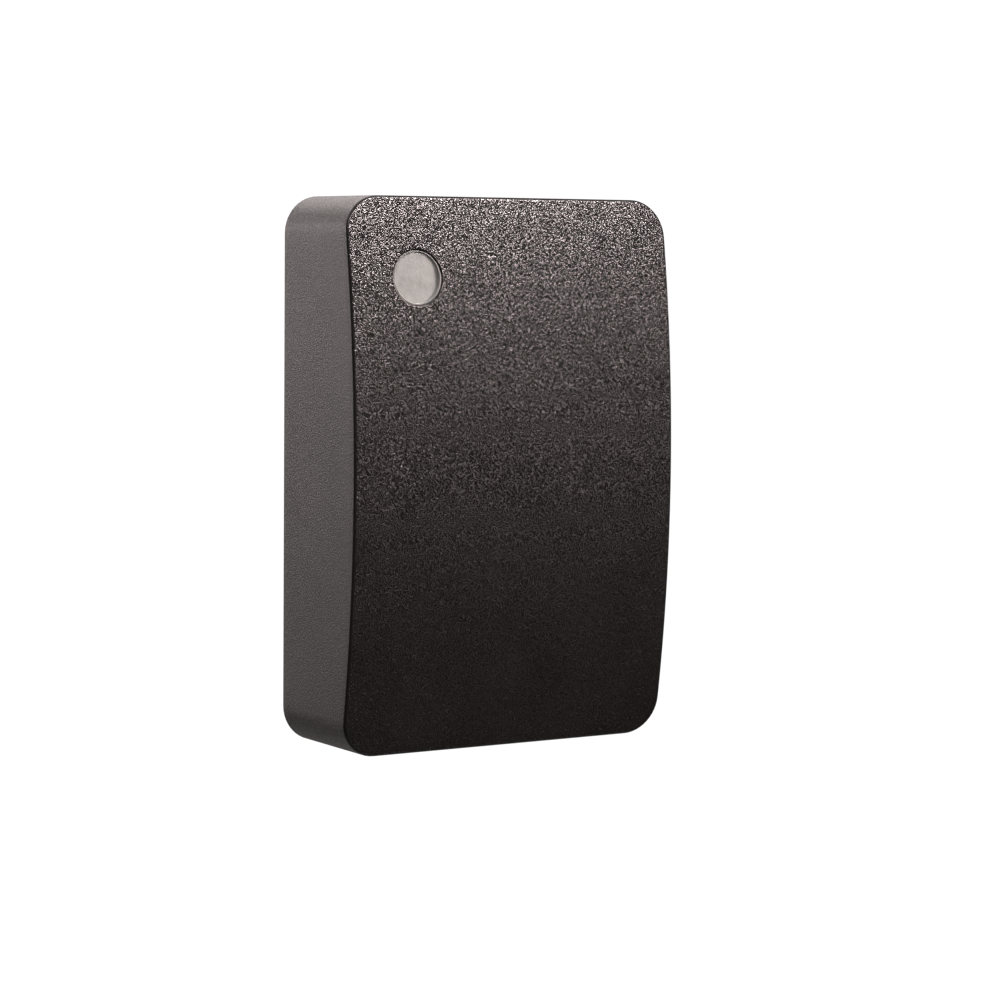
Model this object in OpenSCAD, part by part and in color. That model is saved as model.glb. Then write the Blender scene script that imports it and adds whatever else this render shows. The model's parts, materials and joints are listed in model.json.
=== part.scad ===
// Wall-mounted RFID card reader.
// Frame: origin at the centre of the wall face, +X to the right seen from the front,
// +Z up, the front of the reader towards -Y. Millimetres.

/* [Cover] */
// Width of the cover
cover_w = 80; // [79:0.5:84]
// Height of the cover
cover_h = 118; // [118:0.5:122]
// Depth from the wall to the fullest point of the front
cover_d = 32; // [32:0.5:34]
// How far the front falls back at its top and bottom edges
front_sag = 5.2; // [4.6:0.1:5.6]
// Radius of the outline's four corners
corner_r = 8; // [7:0.5:10]
// Wall thickness of the cover
wall = 2.5; // [2.4:0.1:2.6]

/* [Status lens] */
// Diameter of the lens opening in the cover
lens_hole_d = 11.8; // [11:0.2:12.6]
// Centre of the lens left of the middle
lens_x = -23.7; // [-25:0.1:-23]
// Centre of the lens above the middle
lens_z = 41.9; // [41:0.1:42.5]
// Diameter of the lens disc behind the cover
lens_d = 18; // [16:0.5:18]

/* [Back plate] */
// Thickness of the back plate
plate_t = 3; // [2.8:0.1:3.2]
// Spacing of the upper and lower wall screws
wall_screws_tall = 83.3; // [80:0.1:86]
// Spacing of the left and right wall screws
wall_screws_wide = 60; // [58:0.5:62]
// Width of a wall screw slot
slot_w = 4.2; // [4:0.1:4.6]
// Length of a wall screw slot
slot_l = 7; // [6:0.5:7.5]
// Diameter of the cable hole in the grommet
cable_hole_d = 7; // [6:0.5:8]

/* [Circuit board] */
// Width of the circuit board
board_w = 70; // [69:0.5:71]
// Height of the circuit board
board_h = 106; // [104:0.5:106]
// Thickness of the circuit board
board_t = 1.6; // [1.2:0.1:1.6]
// Number of wire terminals
terminals = 4; // [2:1:4]
// Number of small switches in the address switch
address_switches = 2; // [1:1:2]

/* [Hidden] */
$fn = 48;
tiny = 0.01;

black_plastic = [0.13, 0.12, 0.12];
dark_plastic = [0.2, 0.2, 0.2];
rubber_black = [0.08, 0.08, 0.08];
lens_grey = [0.75, 0.73, 0.7];
steel = [0.7, 0.7, 0.72];
brass = [0.8, 0.65, 0.3];
board_green = [0.1, 0.35, 0.2];
chip_black = [0.1, 0.1, 0.11];
terminal_green = [0.2, 0.5, 0.35];
copper = [0.75, 0.42, 0.2];
part_white = [0.9, 0.9, 0.88];

// The front is part of a cylinder lying along X.
half_h = cover_h / 2;
front_r = (half_h * half_h + front_sag * front_sag) / (2 * front_sag);
front_axis_y = front_r - cover_d;
round_fn = 720;

// The cover's rim stops short of the wall, and the cover swings about the rim's top edge.
rim_gap = 0.5;
hinge_y = -rim_gap;
hinge_z = half_h;

// The back plate sits inside the cover's rim, with more room below than above.
inner_w = cover_w - 2 * wall;
inner_h = cover_h - 2 * wall;
plate_side_gap = 0.3;
plate_bottom_gap = 0.8;
plate_w = inner_w - 2 * plate_side_gap;
plate_h = inner_h - plate_side_gap - plate_bottom_gap;
plate_z = (plate_bottom_gap - plate_side_gap) / 2;
plate_r = corner_r - wall - plate_side_gap;
plate_top = plate_z + plate_h / 2;
rim_depth = 8;
rim_t = 1.6;

// Seal in a groove round the back plate's rear face, and the grommet in its cable hole.
gasket_w = plate_w - 2.2;
gasket_h = plate_h - 2.4;
gasket_band = 1.8;
gasket_depth = 1;
groove_play = 0.1;
grommet_z = -16;
grommet_neck_d = 15;
grommet_flange_d = 19;

// Two claws on the back plate's top edge hook into notches in the cover.
claw_x = 20;
claw_w = 10;
claw_front = -3.6;
claw_back = -1.6;
claw_low = 51;
claw_top = half_h - 1.4;
claw_relief_r = 2.75;
notch_top = half_h - 0.9;
notch_front = -4.4;
notch_back = -1.3;
notch_room = 0.6;

// The cover screw stands up through a threaded insert and bears on a shelf of the back plate.
screw_y = -14;
insert_d = 4.6;
insert_bore_d = 3;
insert_top = -half_h + 8.5;
insert_l = 4;
screw_boss_d = 9;
shank_d = 2.9;
shank_top = insert_top + 0.6;
head_d = 5.6;
head_t = 1.8;
head_pocket_d = 6.3;
head_pocket_deep = 2.2;
shelf_low = shank_top + 1.1;
shelf_t = 2.4;
shelf_w = 10;
shelf_front = -18;

// The circuit board lies across the cover, on four bosses.
board_front = -22;
board_back = board_front + board_t;
board_corner_r = 3;
boss_d = 6;
board_bosses = [[31, 48], [31, -48], [-31, -48], [-31, 24]];
pilot_d = 2.3;
board_hole_d = 2.7;
board_screw_d = 2.2;
board_screw_head_d = 4.2;

// The lens disc sits in a round collar behind the cover's front wall. Its spigot fills the
// opening up to the visible face, and a thin lip lines the rest of the opening's wall.
gasket_t = 0.5;
lens_front = -cover_d + (lens_z * lens_z) / (2 * front_r) + wall + gasket_t;
spigot_d = lens_hole_d - 0.4;
face_above_flange = 1.8;
lens_face = lens_front - face_above_flange;
lip_t = 0.3;
lip_below_front = 0.25;
lens_t = 2;
collar_back = -23.9;
collar_wall = 1.4;
lens_play = 0.15;

// Antenna coil on its former, in front of the board.
coil_w = 52;
coil_h = 68;
coil_z = -11;
coil_band = 3.2;
ferrite_t = 0.6;
former_t = 1.2;
coil_t = 0.9;
former_back = board_front - ferrite_t;
former_front = former_back - former_t;

// Wire terminals: a row of screws that face the back plate.
pitch = 5;
terminal_low = 8;
terminal_high = 17;
terminal_back = -10.4;
clamp_w = 3.8;
clamp_l = 4.4;
clamp_deep = 5.2;
clamp_wall = 0.8;
clamp_low_y = -19.6;
clamp_z = 11.7;
terminal_shank_d = 2.6;
terminal_head_d = 3.4;
clamp_bore_d = terminal_shank_d + 0.1;

// Address switch: sliders in slots of a small body.
slider_pitch = 2.54;
address_x = -21;
address_z = -1;
address_back = -17.2;

// Tamper switch: a sprung plunger that the back plate holds in.
tamper_x = 20;
tamper_z = -32;
tamper_back = -12;
plunger_d = 2.6;
flange_d = 4.4;
pad_front = -5;
plunger_tip = pad_front - 0.2;
flange_back = -15.6;
flange_t = 0.8;
spring_seat = board_back + 0.8;
spring_r = 1.5;
spring_wire_r = 0.2;
spring_turns = 5;
spring_steps = 20;
spring_sides = 8;
spring_front = spring_seat + spring_wire_r;
spring_back = flange_back - flange_t - spring_wire_r;

// ---- helpers ----

// Extrudes a drawing, seen from the front, from its rear face forwards.
module slab(rear, front) {
    translate([0, rear, 0])
        rotate([90, 0, 0])
            linear_extrude(rear - front)
                children();
}

module rounded_rect(w, h, r) {
    square([w - 2 * r, h], center = true);
    square([w, h - 2 * r], center = true);
    for (sx = [-1, 1], sz = [-1, 1])
        translate([sx * (w / 2 - r), sz * (h / 2 - r)])
            circle(r);
}

// Round bar along Y at x, z, from its rear end to its front end.
module bar(x, z, d, rear, front) {
    translate([x, rear, z])
        rotate([90, 0, 0])
            cylinder(d = d, h = rear - front);
}

// Block from its rear face to its front face, centred on x, z.
module block(x, z, w, h, rear, front) {
    translate([x - w / 2, front, z - h / 2])
        cube([w, rear - front, h]);
}

// Upright round bar.
module post(x, y, d, low, high) {
    translate([x, y, low])
        cylinder(d = d, h = high - low);
}

// The space behind a front surface of the given radius.
module behind_front(r) {
    translate([0, front_axis_y, 0])
        rotate([0, 90, 0])
            cylinder(r = r, h = cover_w + 20, center = true, $fn = round_fn);
}

module cover_outer() {
    intersection() {
        slab(-rim_gap, -cover_d - 1) rounded_rect(cover_w, cover_h, corner_r);
        behind_front(front_r);
    }
}

module cover_cavity() {
    intersection() {
        slab(0, -cover_d) rounded_rect(inner_w, inner_h, corner_r - wall);
        behind_front(front_r - wall);
    }
}

module slot_hole(x, z, along_x) {
    run = slot_l - slot_w;
    block(x, z, along_x ? run : slot_w, along_x ? slot_w : run, 1, -plate_t - 2);
    for (s = [-1, 1])
        bar(x + (along_x ? s * run / 2 : 0), z + (along_x ? 0 : s * run / 2), slot_w, 1, -plate_t - 2);
}

module slot_pad(x, z, along_x) {
    block(x, z, along_x ? 13 : 11, along_x ? 11 : 13, -plate_t, -plate_t - 1);
}

// ---- back plate and what stays on the wall ----

module claw(x) {
    difference() {
        translate([x - claw_w / 2, claw_front, claw_low])
            cube([claw_w, claw_back - claw_front, claw_top - claw_low]);
        translate([x, hinge_y, hinge_z])
            rotate([0, 90, 0])
                cylinder(r = claw_relief_r, h = claw_w + 2, center = true);
    }
}

module shelf() {
    translate([-shelf_w / 2, shelf_front, shelf_low])
        cube([shelf_w, -shelf_front - plate_t + tiny, shelf_t]);
    for (s = [-1, 1])
        translate([s * (shelf_w / 2 - 0.8) - 0.8, 0, 0])
            rotate([90, 0, 90])
                linear_extrude(1.6)
                    polygon([[-plate_t + tiny, shelf_low + shelf_t - tiny],
                             [shelf_front + 2, shelf_low + shelf_t - tiny],
                             [-plate_t + tiny, shelf_low + shelf_t + 7]]);
}

module back_plate() {
    color(black_plastic)
    difference() {
        union() {
            translate([0, 0, plate_z]) {
                slab(0, -plate_t) rounded_rect(plate_w, plate_h, plate_r);
                slab(-plate_t, -rim_depth) difference() {
                    rounded_rect(plate_w, plate_h, plate_r);
                    rounded_rect(plate_w - 2 * rim_t, plate_h - 2 * rim_t, plate_r - rim_t);
                }
            }
            for (s = [-1, 1]) {
                claw(s * claw_x);
                slot_pad(0, s * wall_screws_tall / 2, false);
                slot_pad(s * wall_screws_wide / 2, 0, true);
                block(s * 14, 0, 1.4, 96, -plate_t, -plate_t - 2);
            }
            shelf();
            bar(tamper_x, tamper_z, 8, -plate_t, pad_front);
        }
        for (s = [-1, 1]) {
            slot_hole(0, s * wall_screws_tall / 2, false);
            slot_hole(s * wall_screws_wide / 2, 0, true);
        }
        bar(0, grommet_z, grommet_neck_d, 1, -plate_t - 1);
        bar(0, grommet_z, grommet_flange_d + 0.4, 1, -gasket_depth);
        translate([0, 0, plate_z])
            slab(1, -gasket_depth) gasket_ring(groove_play);
    }
}

// Outline of the wall seal, made wider on both sides by play.
module gasket_ring(play) {
    difference() {
        rounded_rect(gasket_w + 2 * play, gasket_h + 2 * play, 4);
        rounded_rect(gasket_w - 2 * gasket_band - 2 * play, gasket_h - 2 * gasket_band - 2 * play, 2.2);
    }
}

module wall_gasket() {
    color(rubber_black)
    translate([0, 0, plate_z])
        slab(0, -gasket_depth) gasket_ring(0);
}

module cable_grommet() {
    color(rubber_black)
    translate([0, 0, grommet_z])
        rotate([90, 0, 0])
            rotate_extrude()
                polygon([[cable_hole_d / 2, 0],
                         [grommet_flange_d / 2, 0],
                         [grommet_flange_d / 2, 0.9],
                         [grommet_neck_d / 2 - 0.1, 1],
                         [grommet_neck_d / 2 - 0.1, plate_t],
                         [grommet_flange_d / 2 - 1, plate_t + 0.05],
                         [grommet_flange_d / 2 - 1.6, plate_t + 1.2],
                         [cable_hole_d / 2 + 1.4, plate_t + 1.2],
                         [cable_hole_d / 2 + 1, plate_t + 3.5],
                         [cable_hole_d / 2, plate_t + 3.5]]);
}

// ---- cover and what swings with it ----

module cover_boss_set() {
    bar(lens_x, lens_z, lens_d + 2 * (lens_play + collar_wall), collar_back, -cover_d);
    for (p = board_bosses)
        bar(p[0], p[1], boss_d, board_front, -cover_d);
    post(0, screw_y, screw_boss_d, -half_h, insert_top);
    for (s = [-1, 1], z = [-30, 0, 30])
        block(s * (inner_w / 2 - 0.5), z, 2, 1.2, -rim_depth - 1.5, -cover_d);
}

module front_cover() {
    color(black_plastic)
    difference() {
        union() {
            difference() {
                cover_outer();
                cover_cavity();
            }
            intersection() {
                cover_boss_set();
                cover_outer();
            }
        }
        bar(lens_x, lens_z, lens_hole_d, 0, -cover_d - 1);
        bar(lens_x, lens_z, lens_d + 2 * lens_play, 0, lens_front - gasket_t);
        for (p = board_bosses)
            bar(p[0], p[1], pilot_d, board_front + 1, board_front - 4);
        for (s = [-1, 1])
            translate([s * claw_x - claw_w / 2 - notch_room, notch_front, half_h - wall - 1])
                cube([claw_w + 2 * notch_room, notch_back - notch_front, notch_top - half_h + wall + 1]);
        post(0, screw_y, head_pocket_d, -half_h - 1, -half_h + head_pocket_deep);
        post(0, screw_y, shank_d + 0.5, -half_h, insert_top);
        post(0, screw_y, insert_d, insert_top - insert_l, insert_top + 1);
    }
}

module status_lens() {
    color(lens_grey)
    difference() {
        union() {
            bar(lens_x, lens_z, lens_d, lens_front + lens_t, lens_front);
            intersection() {
                bar(lens_x, lens_z, spigot_d, lens_front + lens_t, -cover_d);
                behind_front(front_r - lip_below_front);
            }
        }
        bar(lens_x, lens_z, spigot_d - 2 * lip_t, lens_face, -cover_d - 1);
    }
}

module lens_gasket() {
    color(rubber_black)
    difference() {
        bar(lens_x, lens_z, lens_d, lens_front, lens_front - gasket_t);
        bar(lens_x, lens_z, lens_hole_d + 1.2, lens_front + 1, lens_front - gasket_t - 1);
    }
}

module threaded_insert() {
    color(brass)
    difference() {
        post(0, screw_y, insert_d, insert_top - insert_l, insert_top);
        post(0, screw_y, insert_bore_d, insert_top - insert_l - 1, insert_top + 1);
    }
}

module cover_screw() {
    head_low = -half_h + 0.2;
    color(steel)
    difference() {
        union() {
            post(0, screw_y, head_d, head_low, head_low + head_t);
            post(0, screw_y, shank_d, head_low, shank_top);
        }
        difference() {
            translate([0, screw_y, head_low - 1])
                cylinder(d = 3, h = 2.2, $fn = 6);
            post(0, screw_y, 0.8, head_low - 2, head_low + 2);
        }
    }
}

module main_board() {
    color(board_green)
    difference() {
        slab(board_back, board_front) rounded_rect(board_w, board_h, board_corner_r);
        for (p = board_bosses)
            bar(p[0], p[1], board_hole_d, board_back + 1, board_front - 1);
    }
}

module board_screws() {
    color(steel)
    for (p = board_bosses)
        difference() {
            union() {
                bar(p[0], p[1], board_screw_head_d, board_back + 1.4, board_back);
                bar(p[0], p[1], board_screw_d, board_back + 1, board_front - 3.6);
            }
            block(p[0], p[1], 2.4, 0.6, board_back + 2, board_back + 0.7);
            block(p[0], p[1], 0.6, 2.4, board_back + 2, board_back + 0.7);
        }
}

module coil_former() {
    color(part_white)
    translate([0, 0, coil_z])
        slab(former_back, former_front) difference() {
            rounded_rect(coil_w + 3, coil_h + 3, 5);
            rounded_rect(coil_w - 2 * coil_band - 3, coil_h - 2 * coil_band - 3, 2);
        }
}

module antenna_coil() {
    color(copper)
    translate([0, 0, coil_z])
        slab(former_front, former_front - coil_t) difference() {
            rounded_rect(coil_w, coil_h, 4);
            rounded_rect(coil_w - 2 * coil_band, coil_h - 2 * coil_band, 2);
        }
}

module ferrite_sheet() {
    color(chip_black)
    translate([0, 0, coil_z])
        slab(board_front, former_back) rounded_rect(coil_w + 2, coil_h + 2, 2);
}

module controller_chip() {
    legs = 8;
    color(chip_black) {
        block(-2, -36, 10, 10, board_back + 1.4, board_back + 0.2);
        for (i = [0:legs - 1], s = [-1, 1]) {
            block(-2 + s * 5.2, -36 + (i - (legs - 1) / 2) * 1.1, 1.6, 0.4, board_back + 0.6, board_back);
            block(-2 + (i - (legs - 1) / 2) * 1.1, -36 + s * 5.2, 0.4, 1.6, board_back + 0.6, board_back);
        }
    }
}

module radio_chip() {
    color(chip_black)
    block(-24, -22, 6, 6, board_back + 0.9, board_back);
}

module crystal() {
    color(steel)
    block(-14, -28, 5, 3.2, board_back + 1.2, board_back);
}

module voltage_regulator() {
    color(chip_black) {
        block(24, 4, 6.5, 6, board_back + 2.3, board_back);
        block(24, 8.4, 5.4, 3, board_back + 0.8, board_back);
        for (s = [-1, 1])
            block(24 + s * 2.3, -0.2, 0.8, 2.8, board_back + 0.6, board_back);
    }
}

module inductor() {
    color(dark_plastic)
    slab(board_back + 3, board_back) translate([24, -10]) rounded_rect(7, 7, 1.5);
}

module capacitors() {
    color(steel)
    for (x = [12, 20]) {
        bar(x, 40, 6.3, board_back + 7.7, board_back);
        block(x, 40, 6.6, 6.6, board_back + 0.8, board_back);
    }
}

module chip_resistors() {
    color(part_white)
    for (i = [0:5], j = [0:1])
        block(-26 + 3.2 * i, -42 - 3 * j, 1.6, 0.8, board_back + 0.5, board_back);
}

module status_led() {
    color(part_white)
    difference() {
        block(lens_x, lens_z, 5, 5, board_front, board_front - 1.6);
        bar(lens_x, lens_z, 3.8, board_front - 1, board_front - 3);
    }
}

module buzzer() {
    color(chip_black)
    difference() {
        bar(-16, 40, 12, board_back + 6.5, board_back);
        bar(-16, 40, 2, board_back + 8, board_back + 5);
    }
}

module tamper_switch_housing() {
    color(dark_plastic)
    difference() {
        block(tamper_x, tamper_z, 7, 7, tamper_back, board_back);
        bar(tamper_x, tamper_z, flange_d + 0.6, tamper_back - 1.2, spring_seat);
        bar(tamper_x, tamper_z, plunger_d + 0.1, tamper_back + 1, tamper_back - 2);
    }
}

module tamper_plunger() {
    color(part_white) {
        bar(tamper_x, tamper_z, flange_d, flange_back, flange_back - flange_t);
        bar(tamper_x, tamper_z, plunger_d, plunger_tip, flange_back - flange_t);
    }
}

// The coil spring is swept along a helix about the plunger's axis.
function spring_point(i, j) =
    let (a = 360 * i / spring_steps,
         b = 360 * j / spring_sides,
         reach = spring_r + spring_wire_r * cos(b),
         along = spring_front + (spring_back - spring_front) * i / (spring_turns * spring_steps))
    [tamper_x + reach * cos(a), along + spring_wire_r * sin(b), tamper_z + reach * sin(a)];

module tamper_spring() {
    rings = spring_turns * spring_steps;
    sides = spring_sides;
    color(steel)
    polyhedron(
        points = [for (i = [0:rings], j = [0:sides - 1]) spring_point(i, j)],
        faces = concat(
            [for (i = [0:rings - 1], j = [0:sides - 1])
                [i * sides + j, (i + 1) * sides + j, (i + 1) * sides + (j + 1) % sides]],
            [for (i = [0:rings - 1], j = [0:sides - 1])
                [i * sides + j, (i + 1) * sides + (j + 1) % sides, i * sides + (j + 1) % sides]],
            [[for (j = [0:sides - 1]) j]],
            [[for (j = [sides - 1:-1:0]) rings * sides + j]]));
}

// ---- wire terminals ----

function terminal_x(i) = (i - (terminals + 1) / 2) * pitch;

module terminal_block() {
    neck_back = terminal_back - 1.4;
    cavity_back = terminal_back - 2;
    color(terminal_green)
    difference() {
        block(0, (terminal_low + terminal_high) / 2, terminals * pitch + 0.8,
              terminal_high - terminal_low, terminal_back, board_back);
        for (i = [1:terminals]) {
            bar(terminal_x(i), clamp_z, terminal_head_d + 0.6, terminal_back + 1, neck_back);
            bar(terminal_x(i), clamp_z, terminal_shank_d + 0.2, terminal_back, cavity_back - 1);
            block(terminal_x(i), clamp_z, clamp_w + 0.4, clamp_l + 0.6, cavity_back, board_back + 0.5);
            block(terminal_x(i), terminal_low, 3.4, 4, -15, -18.6);
        }
    }
}

module terminal_screw(i) {
    head_back = terminal_back - 0.2;
    head_front = terminal_back - 1.3;
    color(steel)
    difference() {
        union() {
            bar(terminal_x(i), clamp_z, terminal_head_d, head_back, head_front);
            bar(terminal_x(i), clamp_z, terminal_shank_d, head_back - 0.5, -16.6);
        }
        block(terminal_x(i), clamp_z, terminal_head_d + 1, 0.6, head_back + 1, head_back - 0.7);
    }
}

module wire_clamp(i) {
    color(brass)
    difference() {
        block(terminal_x(i), clamp_z, clamp_w, clamp_l, clamp_low_y + clamp_deep, clamp_low_y);
        block(terminal_x(i), clamp_z, clamp_w - 1.2, clamp_l + 1,
              clamp_low_y + clamp_deep - clamp_wall, clamp_low_y + clamp_wall);
        bar(terminal_x(i), clamp_z, clamp_bore_d, clamp_low_y + clamp_deep + 1,
            clamp_low_y + clamp_deep - clamp_wall - 1);
    }
}

// ---- address switch ----

function slider_x(i) = address_x + (i - (address_switches + 1) / 2) * slider_pitch;

module address_switch_body() {
    color([0.7, 0.15, 0.12])
    difference() {
        block(address_x, address_z, address_switches * slider_pitch + 1.4, 7, address_back, board_back);
        for (i = [1:address_switches]) {
            block(slider_x(i), address_z, 1.5, 3.4, address_back + 1, address_back - 1.6);
            block(slider_x(i), address_z, 1.9, 4.4, address_back - 0.8, address_back - 2);
        }
    }
}

module switch_slider(i) {
    z = address_z - 0.9;
    color(part_white) {
        block(slider_x(i), z, 1.2, 1.2, address_back + 0.5, address_back - 1.6);
        block(slider_x(i), z, 1.6, 2, address_back - 1.1, address_back - 1.8);
    }
}

back_plate();
wall_gasket();
cable_grommet();
front_cover();
status_lens();
lens_gasket();
cover_screw();
threaded_insert();
main_board();
board_screws();
coil_former();
antenna_coil();
ferrite_sheet();
controller_chip();
radio_chip();
crystal();
voltage_regulator();
inductor();
capacitors();
chip_resistors();
status_led();
buzzer();
tamper_switch_housing();
tamper_plunger();
tamper_spring();
terminal_block();
address_switch_body();
for (i = [1:terminals]) {
    terminal_screw(i);
    wire_clamp(i);
}
for (i = [1:address_switches])
    switch_slider(i);
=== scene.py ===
"""Looks of a wall-mounted RFID card reader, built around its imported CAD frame.

Metres, in the frame's axes: the wall is the plane y = 0, the front faces -Y and +Z is up.
"""
import json
import math
from collections import namedtuple

import bmesh
import bpy
from mathutils import Matrix, Vector
from mathutils.geometry import delaunay_2d_cdt


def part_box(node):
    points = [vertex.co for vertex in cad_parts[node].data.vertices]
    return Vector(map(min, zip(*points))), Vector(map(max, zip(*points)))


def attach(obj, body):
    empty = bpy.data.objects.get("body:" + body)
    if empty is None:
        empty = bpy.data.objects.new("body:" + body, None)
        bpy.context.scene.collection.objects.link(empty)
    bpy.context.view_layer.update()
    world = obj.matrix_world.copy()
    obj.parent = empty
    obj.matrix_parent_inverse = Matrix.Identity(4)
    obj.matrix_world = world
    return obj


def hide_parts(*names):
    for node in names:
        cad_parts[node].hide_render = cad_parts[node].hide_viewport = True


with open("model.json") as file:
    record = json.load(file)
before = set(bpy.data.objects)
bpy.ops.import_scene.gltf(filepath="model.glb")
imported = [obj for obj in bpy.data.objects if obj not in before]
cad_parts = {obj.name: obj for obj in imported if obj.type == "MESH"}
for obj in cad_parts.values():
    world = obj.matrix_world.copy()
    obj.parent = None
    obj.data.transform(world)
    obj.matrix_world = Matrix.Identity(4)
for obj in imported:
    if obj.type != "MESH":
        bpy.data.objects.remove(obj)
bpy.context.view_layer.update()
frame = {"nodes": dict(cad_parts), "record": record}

MM = 0.001
SCENE = bpy.context.scene


# ---------------------------------------------------------------- camera

VIEW_AZIMUTH = math.radians(31.94)     # the camera stands this far to the left of straight ahead
VIEW_ELEVATION = math.radians(4.72)
VIEW_ROLL = math.radians(0.53)
VIEW_TARGET = Vector((6.5, -14.16, -6.95)) * MM
VIEW_DISTANCE = 671.5 * MM
FOCAL_LENGTH = 109.96
SENSOR_WIDTH = 36


def make_camera():
    data = bpy.data.cameras.new("camera")
    data.lens = FOCAL_LENGTH
    data.sensor_width = SENSOR_WIDTH
    data.clip_start = 0.01
    data.clip_end = 100
    camera = bpy.data.objects.new("camera", data)
    SCENE.collection.objects.link(camera)
    level = math.cos(VIEW_ELEVATION)
    back = Vector((-math.sin(VIEW_AZIMUTH) * level, -math.cos(VIEW_AZIMUTH) * level,
                   math.sin(VIEW_ELEVATION)))
    right = (-back).cross(Vector((0, 0, 1))).normalized()
    up = back.cross(right)
    turn = Matrix((right, up, back)).transposed().to_4x4()
    roll = Matrix.Rotation(VIEW_ROLL, 4, back)
    camera.matrix_world = Matrix.Translation(VIEW_TARGET + back * VIEW_DISTANCE) @ roll @ turn
    SCENE.camera = camera


make_camera()


# ---------------------------------------------------------------- materials

class Nodes:
    """A material's node tree, with a short way to add and link nodes."""

    def __init__(self, name):
        self.material = bpy.data.materials.new(name)
        self.material.use_nodes = True
        self.tree = self.material.node_tree
        self.shader = self.tree.nodes["Principled BSDF"]
        self.place = self.add("ShaderNodeTexCoord").outputs["Object"]

    def add(self, kind, **values):
        node = self.tree.nodes.new(kind)
        for key, value in values.items():
            setattr(node, key, value)
        return node

    def link(self, source, target):
        self.tree.links.new(source, target)

    def noise(self, size, detail=2.0, roughness=0.5, distortion=0.0):
        """Noise whose grains are about size metres across."""
        node = self.add("ShaderNodeTexNoise")
        node.inputs["Scale"].default_value = 1 / size
        node.inputs["Detail"].default_value = detail
        node.inputs["Roughness"].default_value = roughness
        node.inputs["Distortion"].default_value = distortion
        self.link(self.place, node.inputs["Vector"])
        return node.outputs["Fac"]

    def spread(self, value, low, high, from_low=0.3, from_high=0.7):
        """Maps a value's middle range onto low to high."""
        node = self.add("ShaderNodeMapRange")
        node.inputs["From Min"].default_value = from_low
        node.inputs["From Max"].default_value = from_high
        node.inputs["To Min"].default_value = low
        node.inputs["To Max"].default_value = high
        self.link(value, node.inputs["Value"])
        return node.outputs["Result"]

    def math(self, operation, a, b):
        node = self.add("ShaderNodeMath", operation=operation)
        for socket, value in zip(node.inputs, (a, b)):
            if isinstance(value, (int, float)):
                socket.default_value = value
            else:
                self.link(value, socket)
        return node.outputs[0]

    def colour(self, value, dark, light):
        node = self.add("ShaderNodeMix", data_type="RGBA")
        node.inputs["A"].default_value = (*dark, 1)
        node.inputs["B"].default_value = (*light, 1)
        self.link(value, node.inputs["Factor"])
        self.link(node.outputs["Result"], self.shader.inputs["Base Color"])

    def roughness(self, value):
        self.link(value, self.shader.inputs["Roughness"])

    def bump(self, height, depth):
        node = self.add("ShaderNodeBump")
        node.inputs["Distance"].default_value = depth
        self.link(height, node.inputs["Height"])
        self.link(node.outputs["Normal"], self.shader.inputs["Normal"])

    def set(self, **values):
        """Sets the shader's sockets; an underscore stands for a space in a socket's name."""
        for key, value in values.items():
            self.shader.inputs[key.replace("_", " ")].default_value = value


GRAIN_TINT = (1.0, 0.93, 0.93, 1)


def grained_plastic(name, grain, depth, dark, light, rough, shine):
    """Moulded plastic with a spark-eroded grain of pebbles about grain metres across.

    rough and shine are (low, high): roughness, and the specular level of hollows and crests."""
    m = Nodes(name)
    broad = m.noise(12 * MM, 3)
    pebbles = m.noise(grain, 1.0, 0.5, distortion=0.35)
    fine = m.noise(grain * 0.4, 1.0, 0.5)
    height = m.math("ADD", pebbles, m.math("MULTIPLY", fine, 0.3))
    m.bump(height, depth)
    # Colour: half a broad random tone, half the pebbles' height, so the grain's hollows are darker: painted
    # shade.
    tone_and_hollow_shade = m.math("ADD", m.math("MULTIPLY", broad, 0.5), m.math("MULTIPLY", pebbles, 0.5))
    m.colour(m.spread(tone_and_hollow_shade, 0, 1, 0.35, 0.65), dark, light)
    m.roughness(m.spread(fine, *rough))
    m.link(m.spread(pebbles, *shine, 0.49, 0.6), m.shader.inputs["Specular IOR Level"])
    m.set(Specular_Tint=GRAIN_TINT)
    return m.material


def smooth_plastic(name, dark, light, rough_low=0.35, rough_high=0.5, specular=0.5):
    m = Nodes(name)
    m.colour(m.spread(m.noise(4 * MM, 4), 0, 1), dark, light)
    m.roughness(m.spread(m.noise(1.5 * MM, 4), rough_low, rough_high))
    m.bump(m.noise(0.15 * MM, 2), 0.004 * MM)
    m.set(Specular_IOR_Level=specular)
    return m.material


def lens_plastic(name, dark, light):
    """Frosted translucent polycarbonate, a little cloudy."""
    m = Nodes(name)
    cloud = m.noise(2.2 * MM, 3, 0.6)
    m.colour(m.spread(cloud, 0, 1, 0.35, 0.65), dark, light)
    m.roughness(m.spread(m.noise(0.8 * MM, 3), 0.3, 0.46))
    m.bump(m.noise(0.5 * MM, 3), 0.03 * MM)
    m.set(Subsurface_Weight=0.75, Subsurface_Scale=1.6 * MM, Subsurface_Radius=(1.0, 0.95, 0.9))
    return m.material


def rubber(name, dark, light):
    m = Nodes(name)
    m.colour(m.spread(m.noise(3 * MM, 4), 0, 1), dark, light)
    m.roughness(m.spread(m.noise(1 * MM, 4), 0.65, 0.85))
    m.bump(m.noise(0.25 * MM, 3), 0.02 * MM)
    return m.material


def metal(name, dark, light):
    m = Nodes(name)
    m.colour(m.spread(m.noise(1.2 * MM, 4, 0.6), 0, 1), dark, light)
    m.roughness(m.spread(m.noise(0.5 * MM, 4, 0.6), 0.22, 0.42))
    m.bump(m.noise(0.2 * MM, 3, 0.5), 0.006 * MM)
    m.set(Metallic=1.0)
    return m.material


# The front's colour is darker than that of the sides and the inside, though all are one moulded plastic:
# painted shade on the front.
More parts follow.
